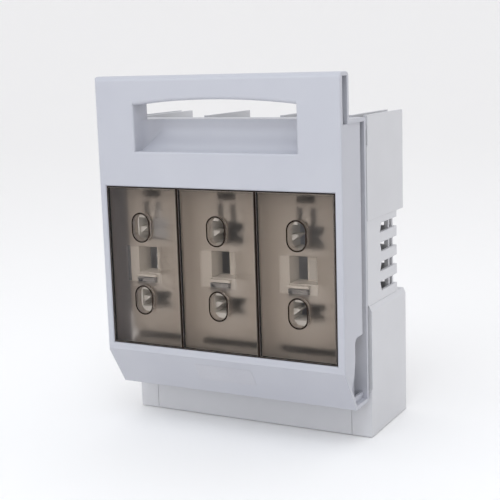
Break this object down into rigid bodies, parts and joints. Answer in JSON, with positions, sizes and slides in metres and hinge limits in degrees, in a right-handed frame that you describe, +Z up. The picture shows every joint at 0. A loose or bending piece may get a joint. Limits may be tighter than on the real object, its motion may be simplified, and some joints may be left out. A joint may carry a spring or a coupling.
{
  "type": "fuse switch disconnector",
  "caption": "Upright multi-pole fuse switch disconnector with a hinged cover that carries the fuse-links, smoked windows and a grip bar, on an open-ended base with knife-blade jaws.",
  "frame": {"origin": "centre of the bounding box at its underside", "axes": "+X to the right seen from the front, -Y out of the front with the windows, +Z up along the fuse-links"},
  "size_m": [0.2136, 0.125, 0.2835],
  "materials": {
    "cover": "light grey moulded polycarbonate, satin",
    "base": "light grey moulded glass-filled plastic",
    "smoked_window": "smoked clear polycarbonate, frosted inside",
    "carrier": "grey moulded plastic",
    "arc_chamber": "dark brown moulded thermoset",
    "plated_copper": "silver-plated copper",
    "steel": "spring and pin steel",
    "zinc_steel": "zinc-plated steel"
  },
  "bodies": {
    "base": {"base_housing": "base", "upper_terminal_cover": "base", "lower_terminal_cover": "base", "left_hinge_pin": "steel", "right_hinge_pin": "steel", "upper_support_1": "base", "upper_support_2": "base", "upper_support_3": "base", "lower_support_1": "base", "lower_support_2": "base", "lower_support_3": "base", "arc_chamber_1": "arc_chamber", "arc_chamber_2": "arc_chamber", "arc_chamber_3": "arc_chamber", "arc_plates": "steel", "upper_contact_1": "plated_copper", "upper_contact_2": "plated_copper", "upper_contact_3": "plated_copper", "lower_contact_1": "plated_copper", "lower_contact_2": "plated_copper", "lower_contact_3": "plated_copper", "upper_contact_spring_1": "steel", "upper_contact_spring_2": "steel", "upper_contact_spring_3": "steel", "lower_contact_spring_1": "steel", "lower_contact_spring_2": "steel", "lower_contact_spring_3": "steel", "contact_screws": "steel", "terminal_bolts": "zinc_steel", "terminal_washers": "zinc_steel", "terminal_nuts": "zinc_steel"},
    "cover": {"front_cover": "cover", "left_end_panel": "cover", "right_end_panel": "cover", "window_1": "smoked_window", "window_2": "smoked_window", "window_3": "smoked_window", "fuse_carrier": "carrier", "lug_clip_1": "steel", "lug_clip_2": "steel", "lug_clip_3": "steel", "carrier_screws": "steel"}
  },
  "joints": [
    {"name": "cover_hinge", "type": "hinge", "parent": "base", "child": "cover", "pos_m": [0, -0.0225, 0.0356], "axis": [1, 0, 0], "range_deg": [0, 90]}
  ]
}
